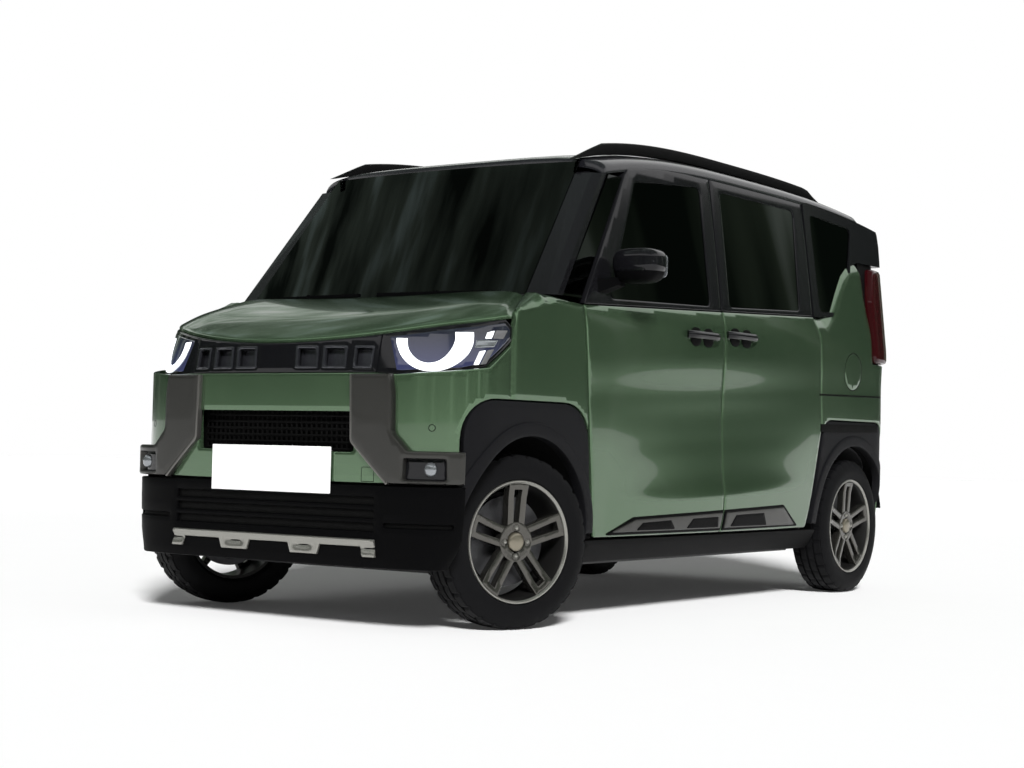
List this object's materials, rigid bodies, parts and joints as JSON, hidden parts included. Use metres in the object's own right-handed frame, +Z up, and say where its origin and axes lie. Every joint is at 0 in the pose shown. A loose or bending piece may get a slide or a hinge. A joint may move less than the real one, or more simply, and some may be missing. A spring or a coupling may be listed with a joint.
{
  "type": "kei car",
  "caption": "Tall kei wagon with hinged front doors, sliding rear doors, bonnet, tailgate, steered front wheels and a hollow cabin, standing parked.",
  "frame": {"origin": "on the ground, in the middle of the car's length and width", "axes": "+Z up, the nose points to -Y, the car's left side is at +X"},
  "size_m": [1.8384, 3.395, 1.7774],
  "materials": {
    "paint": "metallic gloss",
    "gloss_black": "gloss",
    "black_plastic": "grained",
    "grey_plastic": "satin",
    "silver": "satin",
    "glass": "tinted",
    "lamp": "clear over black",
    "red_lamp": "clear red",
    "fabric": "woven",
    "body_steel": "primer",
    "engine": "cast",
    "steel": "coated",
    "rim": "gunmetal",
    "tyre": "matte"
  },
  "bodies": {
    "body": {"floor_pan": "body_steel", "pillars": "gloss_black", "roof_panel": "gloss_black", "front_fenders": "paint", "quarter_panels": "paint", "front_bumper": "paint", "lower_bumper": "black_plastic", "bumper_guards": "grey_plastic", "front_grille": "gloss_black", "headlamps": "lamp", "fog_lamps": "lamp", "skid_garnish": "silver", "windscreen": "glass", "fixed_glass": "glass", "arch_cladding": "black_plastic", "sill_covers": "black_plastic", "roof_rails": "gloss_black", "rear_bumper": "paint", "tail_lamps": "red_lamp", "sliding_doors": "paint", "dashboard": "black_plastic", "front_seats": "fabric", "rear_seat": "fabric", "steering_wheel": "black_plastic", "engine_block": "engine", "fuel_tank": "black_plastic", "exhaust": "steel", "front_subframe": "steel", "rear_axle": "steel", "hinges": "steel", "wipers": "black_plastic"},
    "knuckle_left": {"knuckle_left": "steel"},
    "knuckle_right": {"knuckle_right": "steel"},
    "wheel_front_left": {"rim_front_left": "rim", "tyre_front_left": "tyre"},
    "wheel_front_right": {"rim_front_right": "rim", "tyre_front_right": "tyre"},
    "wheel_rear_left": {"rim_rear_left": "rim", "tyre_rear_left": "tyre"},
    "wheel_rear_right": {"rim_rear_right": "rim", "tyre_rear_right": "tyre"},
    "door_left": {"door_left": "paint", "door_glass_left": "glass", "mirror_left": "gloss_black"},
    "door_right": {"door_right": "paint", "door_glass_right": "glass", "mirror_right": "gloss_black"},
    "bonnet": {"bonnet": "paint"},
    "tailgate": {"tailgate": "paint", "tailgate_glass": "glass"}
  },
  "joints": [
    {"name": "steer_left", "type": "hinge", "parent": "body", "child": "knuckle_left", "pos_m": [0.605, -1.2225, 0.2895], "axis": [0, 0, 1], "range_deg": [-13.5, 50.5]},
    {"name": "steer_right", "type": "hinge", "parent": "body", "child": "knuckle_right", "pos_m": [-0.605, -1.2225, 0.2895], "axis": [0, 0, 1], "range_deg": [-13.5, 50.5]},
    {"name": "spin_front_left", "type": "hinge", "parent": "knuckle_left", "child": "wheel_front_left", "pos_m": [0.64768, -1.23678, 0.2895], "axis": [0.9483, -0.3173, 0], "continuous": true},
    {"name": "spin_front_right", "type": "hinge", "parent": "knuckle_right", "child": "wheel_front_right", "pos_m": [-0.64768, -1.20822, 0.2895], "axis": [0.9483, -0.3173, 0], "continuous": true},
    {"name": "spin_rear_left", "type": "hinge", "parent": "body", "child": "wheel_rear_left", "pos_m": [0.645, 1.2675, 0.2895], "axis": [1, 0, 0], "continuous": true},
    {"name": "spin_rear_right", "type": "hinge", "parent": "body", "child": "wheel_rear_right", "pos_m": [-0.645, 1.2675, 0.2895], "axis": [1, 0, 0], "continuous": true},
    {"name": "door_left_hinge", "type": "hinge", "parent": "body", "child": "door_left", "pos_m": [0.7175, -0.7945, 0.7], "axis": [0, 0, -1], "range_deg": [0, 65]},
    {"name": "door_right_hinge", "type": "hinge", "parent": "body", "child": "door_right", "pos_m": [-0.7175, -0.7945, 0.7], "axis": [0, 0, 1], "range_deg": [0, 65]},
    {"name": "bonnet_hinge", "type": "hinge", "parent": "body", "child": "bonnet", "pos_m": [0, -1.2955, 1.07695], "axis": [-1, 0, 0], "range_deg": [0, 50]},
    {"name": "tailgate_hinge", "type": "hinge", "parent": "body", "child": "tailgate", "pos_m": [0, 1.4855, 1.68137], "axis": [1, 0, 0], "range_deg": [0, 80]}
  ],
  "couplings": [
    {"joint": "steer_right", "follows": "steer_left", "ratio": 1}
  ]
}
